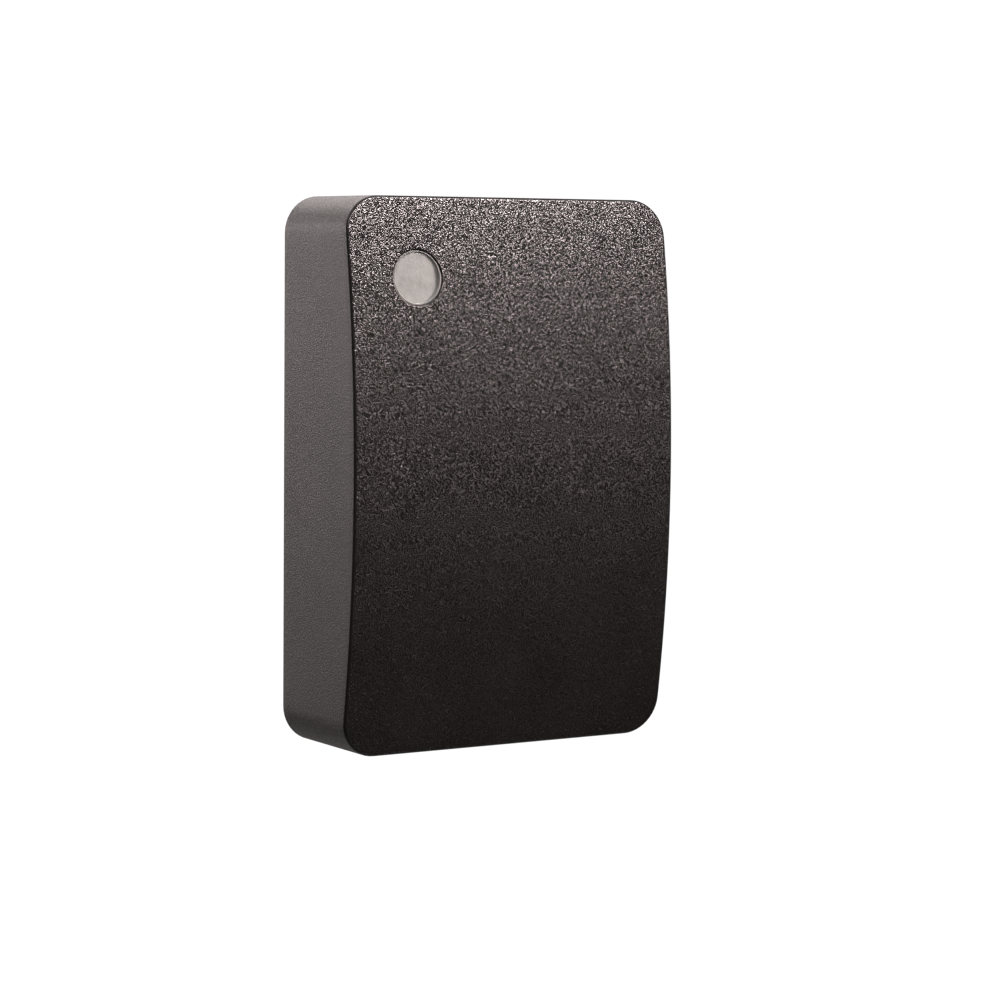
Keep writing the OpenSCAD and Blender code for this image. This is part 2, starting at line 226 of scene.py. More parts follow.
FRONT_GRAIN_PAINTED_SHADE = grained_plastic("cover_front_grain_painted_shade", 0.27 * MM, 0.095 * MM, (0.005, 0.0044, 0.0042),
                              (0.008, 0.007, 0.0067), (0.18, 0.26), (0.03, 1.5))
SIDE_GRAIN = grained_plastic("cover_side_grain", 0.32 * MM, 0.08 * MM, (0.014, 0.012, 0.012),
                             (0.022, 0.020, 0.020), (0.38, 0.5), (0.35, 0.85))
EDGE_PLASTIC = smooth_plastic("cover_edge", (0.006, 0.005, 0.005), (0.008, 0.007, 0.007),
                              0.26, 0.34, specular=0.15)
INSIDE_PLASTIC = smooth_plastic("cover_inside", (0.014, 0.013, 0.013), (0.02, 0.018, 0.018))
BASE_PLASTIC = smooth_plastic("base_plastic", (0.014, 0.013, 0.013), (0.024, 0.022, 0.022))
LENS_FINISH = lens_plastic("lens_plastic", (0.2, 0.195, 0.186), (0.25, 0.243, 0.233))
# A darker copy of the same lens plastic, for the lip's inner wall and tip: painted shade of the recess.
LENS_LIP_PAINTED_SHADE = lens_plastic("lens_lip_painted_shade", (0.11, 0.105, 0.1), (0.15, 0.145, 0.14))
SEAL_RUBBER = rubber("seal_rubber", (0.012, 0.012, 0.012), (0.022, 0.022, 0.022))
STEEL = metal("steel", (0.5, 0.5, 0.5), (0.66, 0.66, 0.65))
BRASS = metal("brass", (0.55, 0.38, 0.14), (0.75, 0.56, 0.25))
COPPER = metal("copper_wire", (0.5, 0.2, 0.08), (0.72, 0.34, 0.16))
ALUMINIUM = metal("can_aluminium", (0.6, 0.6, 0.61), (0.75, 0.75, 0.76))
BOARD_MASK = smooth_plastic("circuit_board", (0.01, 0.09, 0.04), (0.015, 0.13, 0.06))
FERRITE = smooth_plastic("ferrite", (0.03, 0.03, 0.032), (0.05, 0.05, 0.052))
CHIP_RESIN = smooth_plastic("chip_resin", (0.012, 0.012, 0.013), (0.02, 0.02, 0.021))
CERAMIC = smooth_plastic("ceramic_chip", (0.05, 0.045, 0.04), (0.1, 0.09, 0.08))
TIN = metal("tinned_lead", (0.55, 0.55, 0.54), (0.72, 0.72, 0.7))
MASKED_COPPER = smooth_plastic("masked_copper", (0.02, 0.16, 0.07), (0.03, 0.21, 0.09))
PRINT_WHITE = smooth_plastic("board_print", (0.7, 0.7, 0.67), (0.8, 0.8, 0.77))
WHITE_PLASTIC = smooth_plastic("white_plastic", (0.65, 0.64, 0.6), (0.75, 0.74, 0.7))
DARK_PLASTIC = smooth_plastic("dark_plastic", (0.02, 0.02, 0.021), (0.035, 0.035, 0.037))
TERMINAL_GREEN = smooth_plastic("terminal_plastic", (0.02, 0.2, 0.09), (0.04, 0.28, 0.13))
SWITCH_RED = smooth_plastic("switch_plastic", (0.4, 0.03, 0.02), (0.55, 0.05, 0.04))


# ---------------------------------------------------------------- CAD nodes

SLOT_FINISH = {                    # the finish of each of the record's material slots
    "cover_plastic": BASE_PLASTIC, "seal_rubber": SEAL_RUBBER, "lens_plastic": LENS_FINISH,
    "steel": STEEL, "brass": BRASS, "circuit_board": BOARD_MASK, "white_plastic": WHITE_PLASTIC,
    "copper_wire": COPPER, "ferrite": FERRITE, "chip_resin": CHIP_RESIN,
    "can_aluminium": ALUMINIUM, "ceramic_chip": CERAMIC, "dark_plastic": DARK_PLASTIC,
    "terminal_plastic": TERMINAL_GREEN, "switch_plastic": SWITCH_RED,
}
TERMINALS = range(1, 5)
SOFT_EDGES = {                     # edge rounding of the nodes that no piece replaces, in millimetres
    "back_plate": 0.25, "wall_gasket": 0.3, "lens_gasket": 0.12, "main_board": 0.1, "coil_former": 0.2,
    "ferrite_sheet": 0.08, "status_led": 0.12, "tamper_switch_housing": 0.2, "terminal_block": 0.22,
    "address_switch_body": 0.15, "switch_slider_1": 0.1, "switch_slider_2": 0.1,
    **{"wire_clamp_%d" % number: 0.12 for number in TERMINALS},
}


def finish_cad_nodes():
    """Gives each CAD node the finish of its material slot."""
    for row in frame["record"]["subparts"]:
        node = frame["nodes"][row["node"]]
        for slot in node.material_slots:
            slot.link = "OBJECT"
            slot.material = SLOT_FINISH[row["material_slot"]]


def soften_cad_edges():
    """Joins each node's faces along their shared edges, then rounds the sharp ones."""
    for name, width in SOFT_EDGES.items():
        node = frame["nodes"][name]
        weld = node.modifiers.new("joined_faces", "WELD")
        weld.merge_threshold = 0.002 * MM
        bevel = node.modifiers.new("soft_edges", "BEVEL")
        bevel.width = width * MM
        bevel.segments = 2
        bevel.limit_method = "ANGLE"
        bevel.angle_limit = math.radians(40)
        bevel.harden_normals = True


# ---------------------------------------------------------------- mesh helpers

SMOOTH_BELOW = math.radians(35)        # edges that turn more than this stay sharp


def new_piece(name, bm, finish, slot, body, *replaced):
    """Turns a bmesh into a piece; see piece_from_mesh."""
    bmesh.ops.recalc_face_normals(bm, faces=bm.faces)
    mesh = bpy.data.meshes.new(name)
    bm.to_mesh(mesh)
    bm.free()
    return piece_from_mesh(name, mesh, finish, slot, body, *replaced)


def piece_from_mesh(name, mesh, finish, slot, body, *replaced):
    """An object that rides on a body, takes a finish and stands in for CAD nodes; slot is not used."""
    piece = bpy.data.objects.new(name, mesh)
    SCENE.collection.objects.link(piece)
    mesh.materials.clear()
    mesh.materials.append(finish)
    mesh.shade_smooth()
    mesh.set_sharp_from_angle(angle=SMOOTH_BELOW)
    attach(piece, body)
    if replaced:
        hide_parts(*replaced)
    return piece


def in_metres(points):
    return [tuple(value * MM for value in point) for point in points]


def spokes(steps):
    """The cosine and sine of each of a circle's steps."""
    angles = [2 * math.pi * i / steps for i in range(steps)]
    return [(math.cos(a), math.sin(a)) for a in angles]


def rounded_outline(half_w, half_h, radius, inset=0.0, arc_steps=12, long_steps=40, short_steps=28):
    """Points round a rounded rectangle moved inwards by inset, anticlockwise from the right side."""
    w, h, r = half_w - inset, half_h - inset, radius - inset
    # each quarter: the corner's centre, then the straight side that follows its arc
    quarters = (((w - r, h - r), (-1, 0), 2 * (w - r), short_steps),
                ((r - w, h - r), (0, -1), 2 * (h - r), long_steps),
                ((r - w, r - h), (1, 0), 2 * (w - r), short_steps),
                ((w - r, r - h), (0, 1), 2 * (h - r), long_steps))
    points = []
    for quarter, ((cx, cz), (dx, dz), length, side_steps) in enumerate(quarters):
        for step in range(arc_steps + 1):
            angle = (quarter + step / arc_steps) * math.pi / 2
            points.append((cx + r * math.cos(angle), cz + r * math.sin(angle)))
        x, z = points[-1]
        for step in range(1, side_steps):
            points.append((x + dx * length * step / side_steps, z + dz * length * step / side_steps))
    return points


def bridge(bm, first, second):
    """Faces between two rings of vertices."""
    count = len(first)
    for i in range(count):
        bm.faces.new((first[i], first[(i + 1) % count], second[(i + 1) % count], second[i]))


def skin(bm, rings):
    """Vertices for each ring of points, with faces between one ring and the next."""
    made = [[bm.verts.new(point) for point in ring] for ring in rings]
    for first, second in zip(made, made[1:]):
        bridge(bm, first, second)
    return made


def lathe(profile, centre, axis="Y", steps=32):
    """A closed solid of revolution. profile lists (radius, place along the axis); the axis passes centre."""
    bm = bmesh.new()
    cx, cy, cz = centre
    rings = []
    for reach, along in profile:
        ring = []
        for c, s in spokes(steps)[:1 if reach == 0 else steps]:
            across, up = reach * c, reach * s
            place = {"Y": (cx + across, cy + along, cz + up), "Z": (cx + across, cy + up, cz + along)}
            ring.append(bm.verts.new(place[axis]))
        rings.append(ring)
    pairs = list(zip(rings, rings[1:]))
    if profile[0][0] != 0:
        pairs.append((rings[-1], rings[0]))
    for first, second in pairs:
        if len(first) == 1:
            for i in range(steps):
                bm.faces.new((first[0], second[i], second[(i + 1) % steps]))
        elif len(second) == 1:
            for i in range(steps):
                bm.faces.new((first[i], first[(i + 1) % steps], second[0]))
        else:
            bridge(bm, first, second)
    return bm


def lathe_mm(profile, centre, axis="Y", steps=32):
    """A lathe whose profile is in millimetres and whose centre is in metres."""
    return lathe(in_metres(profile), centre, axis, steps)


def rod(x, z, radius, rear, front, steps=32):
    """A solid round bar along Y."""
    return lathe([(0, rear), (radius, rear), (radius, front), (0, front)], (x, 0, z), steps=steps)


def rod_mm(x, z, radius, rear, front, steps):
    return rod(*(value * MM for value in (x, z, radius, rear, front)), steps)


def block(low, high, bevel=0.0):
    """A box between two corners, with its edges rounded by bevel."""
    bm = bmesh.new()
    bmesh.ops.create_cube(bm, size=1)
    centre = (Vector(low) + Vector(high)) / 2
    size = Vector(high) - Vector(low)
    for v in bm.verts:
        v.co = v.co * size + centre
    if bevel:
        bmesh.ops.bevel(bm, geom=bm.edges[:], offset=bevel, segments=2, profile=0.5, affect="EDGES")
    return bm


def block_mm(low, high, bevel=0.0):
    return block(*in_metres((low, high)), bevel * MM)


def scratch(bm):
    """A passing object made of a bmesh, for a boolean."""
    bmesh.ops.recalc_face_normals(bm, faces=bm.faces)
    mesh = bpy.data.meshes.new("scratch")
    bm.to_mesh(mesh)
    bm.free()
    made = bpy.data.objects.new("scratch", mesh)
    SCENE.collection.objects.link(made)
    return made


def cut(base, *tools):
    """Takes each tool, a bmesh, out of a bmesh and returns a mesh."""
    target = scratch(base)
    for tool in tools:
        cutter = scratch(tool)
        modifier = target.modifiers.new("cut", "BOOLEAN")
        modifier.operation = "DIFFERENCE"
        modifier.solver = "EXACT"
        modifier.object = cutter
        graph = bpy.context.evaluated_depsgraph_get()
        done = bpy.data.meshes.new_from_object(target.evaluated_get(graph))
        target.modifiers.clear()
        target.data = done
        bpy.data.objects.remove(cutter)
    mesh = target.data
    bpy.data.objects.remove(target)
    return mesh


def as_bmesh(mesh):
    bm = bmesh.new()
    bm.from_mesh(mesh)
    return bm


def joined(*parts):
    """One bmesh that holds several."""
    whole = bmesh.new()
    for part in parts:
        bmesh.ops.recalc_face_normals(part, faces=part.faces)
        mesh = bpy.data.meshes.new("scratch")
        part.to_mesh(mesh)
        part.free()
        whole.from_mesh(mesh)
        bpy.data.meshes.remove(mesh)
    return whole


# ---------------------------------------------------------------- the cover

COVER_LOW, COVER_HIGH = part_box("front_cover")
HALF_W = (COVER_HIGH.x - COVER_LOW.x) / 2
HALF_H = (COVER_HIGH.z - COVER_LOW.z) / 2
RIM_Y = COVER_HIGH.y
DEPTH = 32 * MM                    # from the wall to the middle of the curved front
SAG = 5.2 * MM                     # how far the front falls back at its top and bottom
FRONT_R = (HALF_H ** 2 + SAG ** 2) / (2 * SAG)
WALL = 2.5 * MM
CORNER_R = 8 * MM
EDGE_R = 0.6 * MM                  # rounding between front and sides
RIM_R = 0.25 * MM                  # rounding of the rear rim
CAVITY_EDGE_R = 1.2 * MM
NET = 2.0 * MM                     # spacing of the points that carry the curved front
NET_MARGIN = 1.2 * MM

LENS_LOW, LENS_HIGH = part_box("status_lens")
LENS_X = (LENS_LOW.x + LENS_HIGH.x) / 2
LENS_Z = (LENS_LOW.z + LENS_HIGH.z) / 2
LENS_HOLE_R = 5.9 * MM
LENS_HOLE_LIP = 0.22 * MM
LENS_HOLE_DEPTH = 4.2 * MM         # goes right through the wall
HOLE_STEPS = 72
HOLE_APRON = 2.4 * MM              # width of the rings laid on the front round the hole


def front_y(z, radius=FRONT_R):
    """The front surface's y at a height, for the outer surface or one parallel to it."""
    return FRONT_R - DEPTH - math.sqrt(radius ** 2 - z ** 2)


def fillet(radius, steps):
    """Inset and drop of each point of a quarter round, from the side round to the front."""
    return [(radius * (1 - math.cos(a)), radius * (1 - math.sin(a)))
            for a in (math.pi / 2 * i / steps for i in range(steps + 1))]


Hole = namedtuple("Hole", "x z radius lip depth")


def pillow(half_w, half_h, corner_r, edge_r, rear, radius, hole=None, rim_r=0.0):
    """A closed block with a rounded outline, a curved front with rounded edges and a flat rear.

    hole is a blind round hole in the front."""
    bm = bmesh.new()
    side_rows = 12
    outline = rounded_outline(half_w, half_h, corner_r)
    rings = []
    if rim_r:
        for inset, drop in reversed(fillet(rim_r, 3)[1:]):
            ring = rounded_outline(half_w, half_h, corner_r, inset)
            rings.append([(x, rear - drop, z) for x, z in ring])
        rear = rear - rim_r
    for row in range(side_rows):
        rings.append([(x, rear + (front_y(z, radius) + edge_r - rear) * row / side_rows, z)
                      for x, z in outline])
    for inset, drop in fillet(edge_r, 6):
        ring = rounded_outline(half_w, half_h, corner_r, inset)
        rings.append([(x, front_y(z, radius) + drop, z) for x, z in ring])
    for extra in (0.4, 1.0, 1.8, 2.8):
        ring = rounded_outline(half_w, half_h, corner_r, edge_r + extra * MM)
        rings.append([(x, front_y(z, radius), z) for x, z in ring])
    made = skin(bm, rings)
    bm.faces.new(reversed(made[0]))
    inner = hole_rings(bm, hole, radius) if hole else []
    fill_front(bm, made[-1], inner, radius, hole)
    return bm


def hole_rings(bm, hole, radius):
    """The hole's floor, wall, lip and a few rings on the front round it. Returns the outermost ring."""
    floor = front_y(hole.z, radius) + hole.depth
    wall_rows = 5

    def ring(reach, drop):
        return [(hole.x + reach * c, front_y(hole.z + reach * s, radius) + drop, hole.z + reach * s)
                for c, s in spokes(HOLE_STEPS)]

    top = ring(hole.radius, hole.lip)
    rings = [[(x, floor, z) for x, _, z in top]]
    for row in range(1, wall_rows):
        rings.append([(x, floor + (y - floor) * row / wall_rows, z) for x, y, z in top])
    rings += [ring(hole.radius + inset, drop) for inset, drop in fillet(hole.lip, 5)]
    rings += [ring(hole.radius + hole.lip + HOLE_APRON * part, 0) for part in (0.15, 0.35, 0.65, 1.0)]
    made = skin(bm, rings)
    bm.faces.new(made[0])
    return made[-1]


def front_net(half_w, half_h, hole, apron_r):
    """Evenly spaced points on the front, clear of its edge, its corners and the hole's rings."""
    cols = int(2 * half_w / NET)
    rows = int(2 * half_h / NET)
    net = []
    for i in range(1, cols):
        for j in range(1, rows):
            x = -half_w + 2 * half_w * i / cols
            z = -half_h + 2 * half_h * j / rows
            dx = abs(x) - (half_w - CORNER_R)
            dz = abs(z) - (half_h - CORNER_R)
            in_corner = dx > 0 and dz > 0 and math.hypot(dx, dz) > CORNER_R - NET_MARGIN
            at_edge = min(half_w - abs(x), half_h - abs(z)) < NET_MARGIN
            in_hole = hole and math.hypot(x - hole.x, z - hole.z) < apron_r + NET_MARGIN
            if not (in_corner or at_edge or in_hole):
                net.append(Vector((x, z)))
    return net


def fill_front(bm, outer, inner, radius, hole):
    """Fills between the outermost ring and the hole's ring with a fine net on the curved front."""
    half_w = max(v.co.x for v in outer)
    half_h = max(v.co.z for v in outer)
    apron_r = hole.radius + hole.lip + HOLE_APRON if hole else 0
    verts = outer + inner
    points = [Vector((v.co.x, v.co.z)) for v in verts]
    loops = [list(range(len(outer)))]
    if inner:
        loops.append(list(range(len(outer), len(verts))))
    net = front_net(half_w, half_h, hole, apron_r)
    places, _, faces, sources, _, _ = delaunay_2d_cdt(points + net, [], loops, 1, 1e-7)
    made = []
    for place, source in zip(places, sources):
        known = [i for i in source if i < len(verts)]
        made.append(verts[known[0]] if known
                    else bm.verts.new((place.x, front_y(place.y, radius), place.y)))
    flat = math.cos(math.pi / HOLE_STEPS)      # a polygon's flats over its corners
    for face in faces:
        centre = sum((places[i] for i in face), Vector((0, 0))) / len(face)
        if hole and math.hypot(centre.x - hole.x, centre.y - hole.z) < apron_r * flat:
            continue
        bm.faces.new([made[i] for i in face])


SCREW_Y = -14 * MM
BOARD_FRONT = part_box("main_board")[0].y
BOARD_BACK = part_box("main_board")[1].y
BOARD_BOSSES = in_metres([(31, 48), (31, -48), (-31, -48), (-31, 24)])
BOSS_R = 3 * MM
PILOT_R = 1.15 * MM
PILOT_DEPTH = 4 * MM
LENS_COLLAR_R = 10.55 * MM
LENS_SEAT_R = LENS_HIGH.x - LENS_X + 0.15 * MM
LENS_SEAT_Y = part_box("lens_gasket")[0].y
COLLAR_BACK = -23.9 * MM
RIBS_Z = (-30 * MM, 0, 30 * MM)
RIB_HALF = 0.6 * MM
RIB_REACH = 1.5 * MM               # how far a rib stands in from the side wall
RIB_BACK = -9.5 * MM
CLAW_X = 20 * MM
NOTCH_HALF = 5.6 * MM              # half the width of a claw's notch
NOTCH_FRONT = -4.4 * MM
NOTCH_BACK = -1.3 * MM
NOTCH_TOP = HALF_H - 0.9 * MM
PAST = 1 * MM                      # how far a cut or a rib runs past the face it starts from


def cover_inner_solids():
    """Collar, bosses and ribs that stand on the inside of the cover."""
    deep = -DEPTH - 2 * MM
    base = -HALF_H / MM
    solids = [rod(LENS_X, LENS_Z, LENS_COLLAR_R, COLLAR_BACK, deep, 64)]
    for x, z in BOARD_BOSSES:
        solids.append(rod(x, z, BOSS_R, BOARD_FRONT, deep))
    screw_boss = [(0, base - 2), (4.5, base - 2), (4.5, base + 8.2), (4.2, base + 8.5), (0, base + 8.5)]
    solids.append(lathe_mm(screw_boss, (0, SCREW_Y, 0), "Z", 40))
    for side in (-1, 1):
        near, far = sorted((side * (HALF_W - WALL - RIB_REACH), side * (HALF_W + PAST)))
        for z in RIBS_Z:
            solids.append(block((near, deep, z - RIB_HALF), (far, RIB_BACK, z + RIB_HALF)))
    return joined(*solids)


def cover_cuts():
    """Lens seat, pilot holes, claw notches and the stepped hole of the cover screw."""
    base = -HALF_H / MM
    cuts = [rod(LENS_X, LENS_Z, LENS_SEAT_R, COLLAR_BACK + PAST, LENS_SEAT_Y, 64)]
    for x, z in BOARD_BOSSES:
        cuts.append(rod(x, z, PILOT_R, BOARD_FRONT + PAST, BOARD_FRONT - PILOT_DEPTH, 24))
    for x in (-CLAW_X, CLAW_X):
        cuts.append(block((x - NOTCH_HALF, NOTCH_FRONT, HALF_H - WALL - PAST),
                          (x + NOTCH_HALF, NOTCH_BACK, NOTCH_TOP), 0.15 * MM))
    screw_hole = [(0, -1), (3.4, -1), (3.4, 0), (3.15, 0.25), (3.15, 2.2), (1.7, 2.2), (1.7, 4.5),
                  (2.3, 4.5), (2.3, 9.5), (0, 9.5)]
    cuts.append(lathe_mm([(r, base + up) for r, up in screw_hole], (0, SCREW_Y, 0), "Z", 48))
    return joined(*cuts)


def make_cover():
    hole = Hole(LENS_X, LENS_Z, LENS_HOLE_R, LENS_HOLE_LIP, LENS_HOLE_DEPTH)
    outside = pillow(HALF_W, HALF_H, CORNER_R, EDGE_R, RIM_Y, FRONT_R, hole, RIM_R)
    inside = pillow(HALF_W - WALL, HALF_H - WALL, CORNER_R - WALL, CAVITY_EDGE_R, 2 * MM, FRONT_R - WALL)
    cavity = as_bmesh(cut(inside, cover_inner_solids()))
    mesh = cut(outside, cavity, cover_cuts())
    piece_from_mesh("cover_shell", mesh, FRONT_GRAIN_PAINTED_SHADE, "cover_plastic", "cover", "front_cover")
    for finish in (SIDE_GRAIN, INSIDE_PLASTIC, EDGE_PLASTIC):
        mesh.materials.append(finish)
    for face in mesh.polygons:
        face.material_index = cover_finish(face)


def cover_finish(face):
    """0 on the grained front, 1 on the outer sides, 2 inside, 3 on the rounded front edges."""
    x, y, z = face.center
    below_front = y - front_y(z)
    if below_front < EDGE_R * 0.96 and face.normal.y < -0.12:
        return 3 if below_front > 0.02 * MM else 0
    outward = face.normal.x * x + face.normal.z * z
    in_corner = math.hypot(abs(x) - HALF_W + CORNER_R, abs(z) - HALF_H + CORNER_R) > CORNER_R - 2.2 * MM
    in_wall = abs(x) > HALF_W - 2.4 * MM or abs(z) > HALF_H - 2.4 * MM
    return 1 if outward > 0 and (in_wall or in_corner) else 2


# ---------------------------------------------------------------- lens

LENS_FACE = LENS_SEAT_Y - 1.3 * MM     # where the frosted face stands in the opening
LENS_GAP = 0.2 * MM                    # between the spigot and the opening
LENS_LIP = 0.22 * MM                   # thickness of the lip
LENS_DOME = 0.1 * MM
LENS_BOWL = 0.15 * MM                  # rounding between the lip and the face


def make_lens():
    """Frosted lens: flange behind the wall, and a spigot with a thin lip that lines the opening. The lip's
    inner wall and tip take a darker copy of the lens plastic: painted shade.
    """
    back = LENS_HIGH.y
    front = LENS_SEAT_Y + 0.5 * MM
    outer = LENS_HOLE_R - LENS_GAP
    inner = outer - LENS_LIP
    flange = LENS_HIGH.x - LENS_X
    tip = 0.12 * MM
    soft = 0.15 * MM

    def flat(reach, y):
        return [(LENS_X + reach * c, y, LENS_Z + reach * s) for c, s in spokes(HOLE_STEPS)]

    def curved(reach, drop):
        return [(LENS_X + reach * c, front_y(LENS_Z + reach * s) + drop, LENS_Z + reach * s)
                for c, s in spokes(HOLE_STEPS)]

    rings = [flat(flange - soft, back), flat(flange, back - soft), flat(flange, front + soft),
             flat(flange - soft, front), flat(outer + soft, front), flat(outer, front - soft),
             curved(outer, tip + 0.1 * MM), curved(outer - 0.05 * MM, tip),
             curved(inner + 0.08 * MM, tip), curved(inner, tip + 0.1 * MM)]
    for inset, drop in fillet(LENS_BOWL, 5)[1:]:
        rings.append(flat(inner - inset, LENS_FACE - drop))
    for part in (0.75, 0.5, 0.25):
        rings.append(flat((inner - LENS_BOWL) * part, LENS_FACE - LENS_DOME * (1 - part ** 2)))
    bm = bmesh.new()
    made = skin(bm, rings)
    crown = bm.verts.new((LENS_X, LENS_FACE - LENS_DOME, LENS_Z))
    for i in range(HOLE_STEPS):
        bm.faces.new((made[-1][i], made[-1][(i + 1) % HOLE_STEPS], crown))
    bm.faces.new(made[0])
    lens = new_piece("lens", bm, LENS_FINISH, "lens_plastic", "cover", "status_lens")
    lens.data.materials.append(LENS_LIP_PAINTED_SHADE)
    # Faces of the lip in front of the frosted face take the darker copy: painted shade.
    for face in lens.data.polygons:
        reach = math.hypot(face.center.x - LENS_X, face.center.z - LENS_Z)
        if face.center.y < LENS_FACE - 0.3 * MM and reach < outer:
            face.material_index = 1


# ---------------------------------------------------------------- small parts

BOARD = BOARD_BACK / MM            # the board's rear face, in millimetres


def middle(node):
    low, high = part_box(node)
    return (low + high) / 2


def span(node, axis):
    """Where a node's box begins and ends along an axis, in millimetres."""
    return [getattr(corner, axis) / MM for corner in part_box(node)]


def seat(node):
    """The x and z of a node's middle, in millimetres."""
    centre = middle(node) / MM
    return centre.x, centre.z


def turned(name, node, profile, finish, slot, body="cover", axis="Y", steps=32):
    """A turned piece about the middle of a node's box, its profile in millimetres."""
    centre = middle(node)
    place = (centre.x, 0, centre.z) if axis == "Y" else (centre.x, centre.y, 0)
    new_piece(name, lathe_mm(profile, place, axis, steps), finish, slot, body, node)


def thread(low, high, root, crest, pitch):
    """Profile points of a thread's flanks from low to high along the axis."""
    turns = max(1, int(abs(high - low) / pitch))
    step = (high - low) / turns
    points = []
    for turn in range(turns):
        points.append((root, low + turn * step))
        points.append((crest, low + (turn + 0.5) * step))
    points.append((root, high))
    return points


def make_cover_screw():
    """A button head with a six-sided socket that has a pin in its middle."""
    low, high = span("cover_screw", "z")
    centre = (0, middle("cover_screw").y, 0)
    profile = [(0, low), (2.5, low), (2.75, low + 0.12), (2.8, low + 0.4), (2.8, low + 1.7),
               (2.7, low + 1.8), (1.4, low + 1.8), (1.4, low + 3.4)]
    profile += thread(low + 3.4, high - 0.4, 1.2, 1.46, 0.5)[1:] + [(0.9, high), (0, high)]
    socket = [(0, low - 1), (1.5, low - 1), (1.5, low + 1.2), (0, low + 1.2)]
    pin = [(0, low - 2), (0.4, low - 2), (0.4, low + 1.1), (0, low + 1.3)]
    recess = as_bmesh(cut(lathe_mm(socket, centre, "Z", 6), lathe_mm(pin, centre, "Z", 16)))
    mesh = cut(lathe_mm(profile, centre, "Z", 40), recess)
    piece_from_mesh("cover_screw_body", mesh, STEEL, "steel", "cover_screw", "cover_screw")


def make_insert():
    low, high = span("threaded_insert", "z")
    profile = [(1.55, low), (2.1, low)] + thread(low + 0.2, low + 1.6, 2.15, 2.3, 0.35)
    profile += [(1.95, low + 1.75), (1.95, low + 2.3)] + thread(low + 2.45, high - 0.2, 2.15, 2.3, 0.35)
    profile += [(2.1, high), (1.55, high)]
    turned("threaded_insert_body", "threaded_insert", profile, BRASS, "brass", axis="Z", steps=48)


def cross_slot(x, z, rear, front, length, width):
    """The two boxes of a cross recess."""
    return [block((x - a / 2, front, z - b / 2), (x + a / 2, rear, z + b / 2))
            for a, b in ((length, width), (width, length))]


def make_board_screws():
    profile = [(0, BOARD + 1.4), (1.1, BOARD + 1.36), (1.7, BOARD + 1.15), (2.05, BOARD + 0.6),
               (2.1, BOARD), (1.1, BOARD)]
    profile += thread(BOARD - 0.3, BOARD - 4.6, 0.8, 1.1, 0.6)[1:]
    profile += [(0.3, BOARD - 5.2), (0, BOARD - 5.2)]
    screws = []
    for x, z in BOARD_BOSSES:
        slots = cross_slot(x, z, (BOARD + 2) * MM, (BOARD + 0.7) * MM, 2.3 * MM, 0.55 * MM)
        screws.append(as_bmesh(cut(lathe_mm(profile, (x, 0, z)), *slots)))
    new_piece("board_screw_set", joined(*screws), STEEL, "steel", "cover", "board_screws")


def make_terminal_screws():
    for number in TERMINALS:
        node = "terminal_screw_%d" % number
        low, high = span(node, "y")
        centre = middle(node)
        profile = [(0, high), (1.45, high), (1.66, high - 0.12), (1.7, high - 0.3), (1.7, high - 1.0),
                   (1.6, high - 1.1), (1.28, high - 1.1)]
        profile += thread(high - 1.4, low + 0.3, 1.1, 1.3, 0.5)[1:] + [(0.8, low), (0, low)]
        slot = block((centre.x - 3 * MM, (high - 0.7) * MM, centre.z - 0.28 * MM),
                     (centre.x + 3 * MM, (high + 1) * MM, centre.z + 0.28 * MM))
        mesh = cut(lathe_mm(profile, (centre.x, 0, centre.z)), slot)
        piece_from_mesh(node + "_body", mesh, STEEL, "steel", node, node)


def make_grommet():
    profile = [(3.5, -0.1), (3.7, 0.0), (9.2, 0.0), (9.5, -0.2), (9.5, -0.8), (9.3, -0.95), (7.5, -1.0),
               (7.4, -1.1), (7.4, -2.95), (7.6, -3.03), (8.3, -3.05), (8.5, -3.2), (8.0, -4.0), (7.7, -4.2),
               (5.2, -4.2), (4.8, -4.35), (4.5, -6.2), (4.3, -6.5), (3.7, -6.5), (3.5, -6.3)]
    turned("cable_grommet_body", "cable_grommet", profile, SEAL_RUBBER, "seal_rubber", "wall_plate",
           steps=64)


def make_capacitors():
    """Two aluminium cans with a rolled neck, on black bases."""
    profile = [(0, BOARD + 0.4), (2.9, BOARD + 0.4), (3.1, BOARD + 0.7), (3.15, BOARD + 1.2),
               (2.95, BOARD + 1.5), (2.95, BOARD + 1.8), (3.15, BOARD + 2.1), (3.15, BOARD + 7.3),
               (3.0, BOARD + 7.6), (2.7, BOARD + 7.7), (2.5, BOARD + 7.6), (0, BOARD + 7.55)]
    left, right = span("capacitors", "x")
    z = seat("capacitors")[1]
    half = 3.3
    cans, bases = [], []
    for x in (left + half, right - half):
        cans.append(lathe_mm(profile, (x * MM, 0, z * MM), steps=48))
        bases.append(block_mm((x - half, BOARD, z - half), (x + half, BOARD + 0.8, z + half), 0.15))
    new_piece("capacitor_cans", joined(*cans), ALUMINIUM, "can_aluminium", "cover", "capacitors")
    new_piece("capacitor_bases", joined(*bases), CHIP_RESIN, "chip_resin", "cover")


def lead(x, z, dx, dz, reach, width):
    """A gull-wing lead that runs outwards from a chip's side along (dx, dz) and down to the board."""
    thick = 0.14
    rise = 0.6
    run = [(0, rise), (0.25 * reach, rise), (0.5 * reach, thick), (reach, thick)]
    bm = bmesh.new()
    rows = []
    for along, y in run:
        for below in (0, thick):
            for side in (-width / 2, width / 2):
                rows.append(bm.verts.new(((x + dx * along + dz * side) * MM, (BOARD + y - below) * MM,
                                          (z + dz * along + dx * side) * MM)))
    for step in range(len(run) - 1):
        a, b = rows[step * 4:step * 4 + 4], rows[step * 4 + 4:step * 4 + 8]
        for p, q in ((0, 1), (1, 3), (3, 2), (2, 0)):
            bm.faces.new((a[p], a[q], b[q], b[p]))
    for end in (rows[:4], rows[-4:]):
        bm.faces.new((end[0], end[1], end[3], end[2]))
    return bm


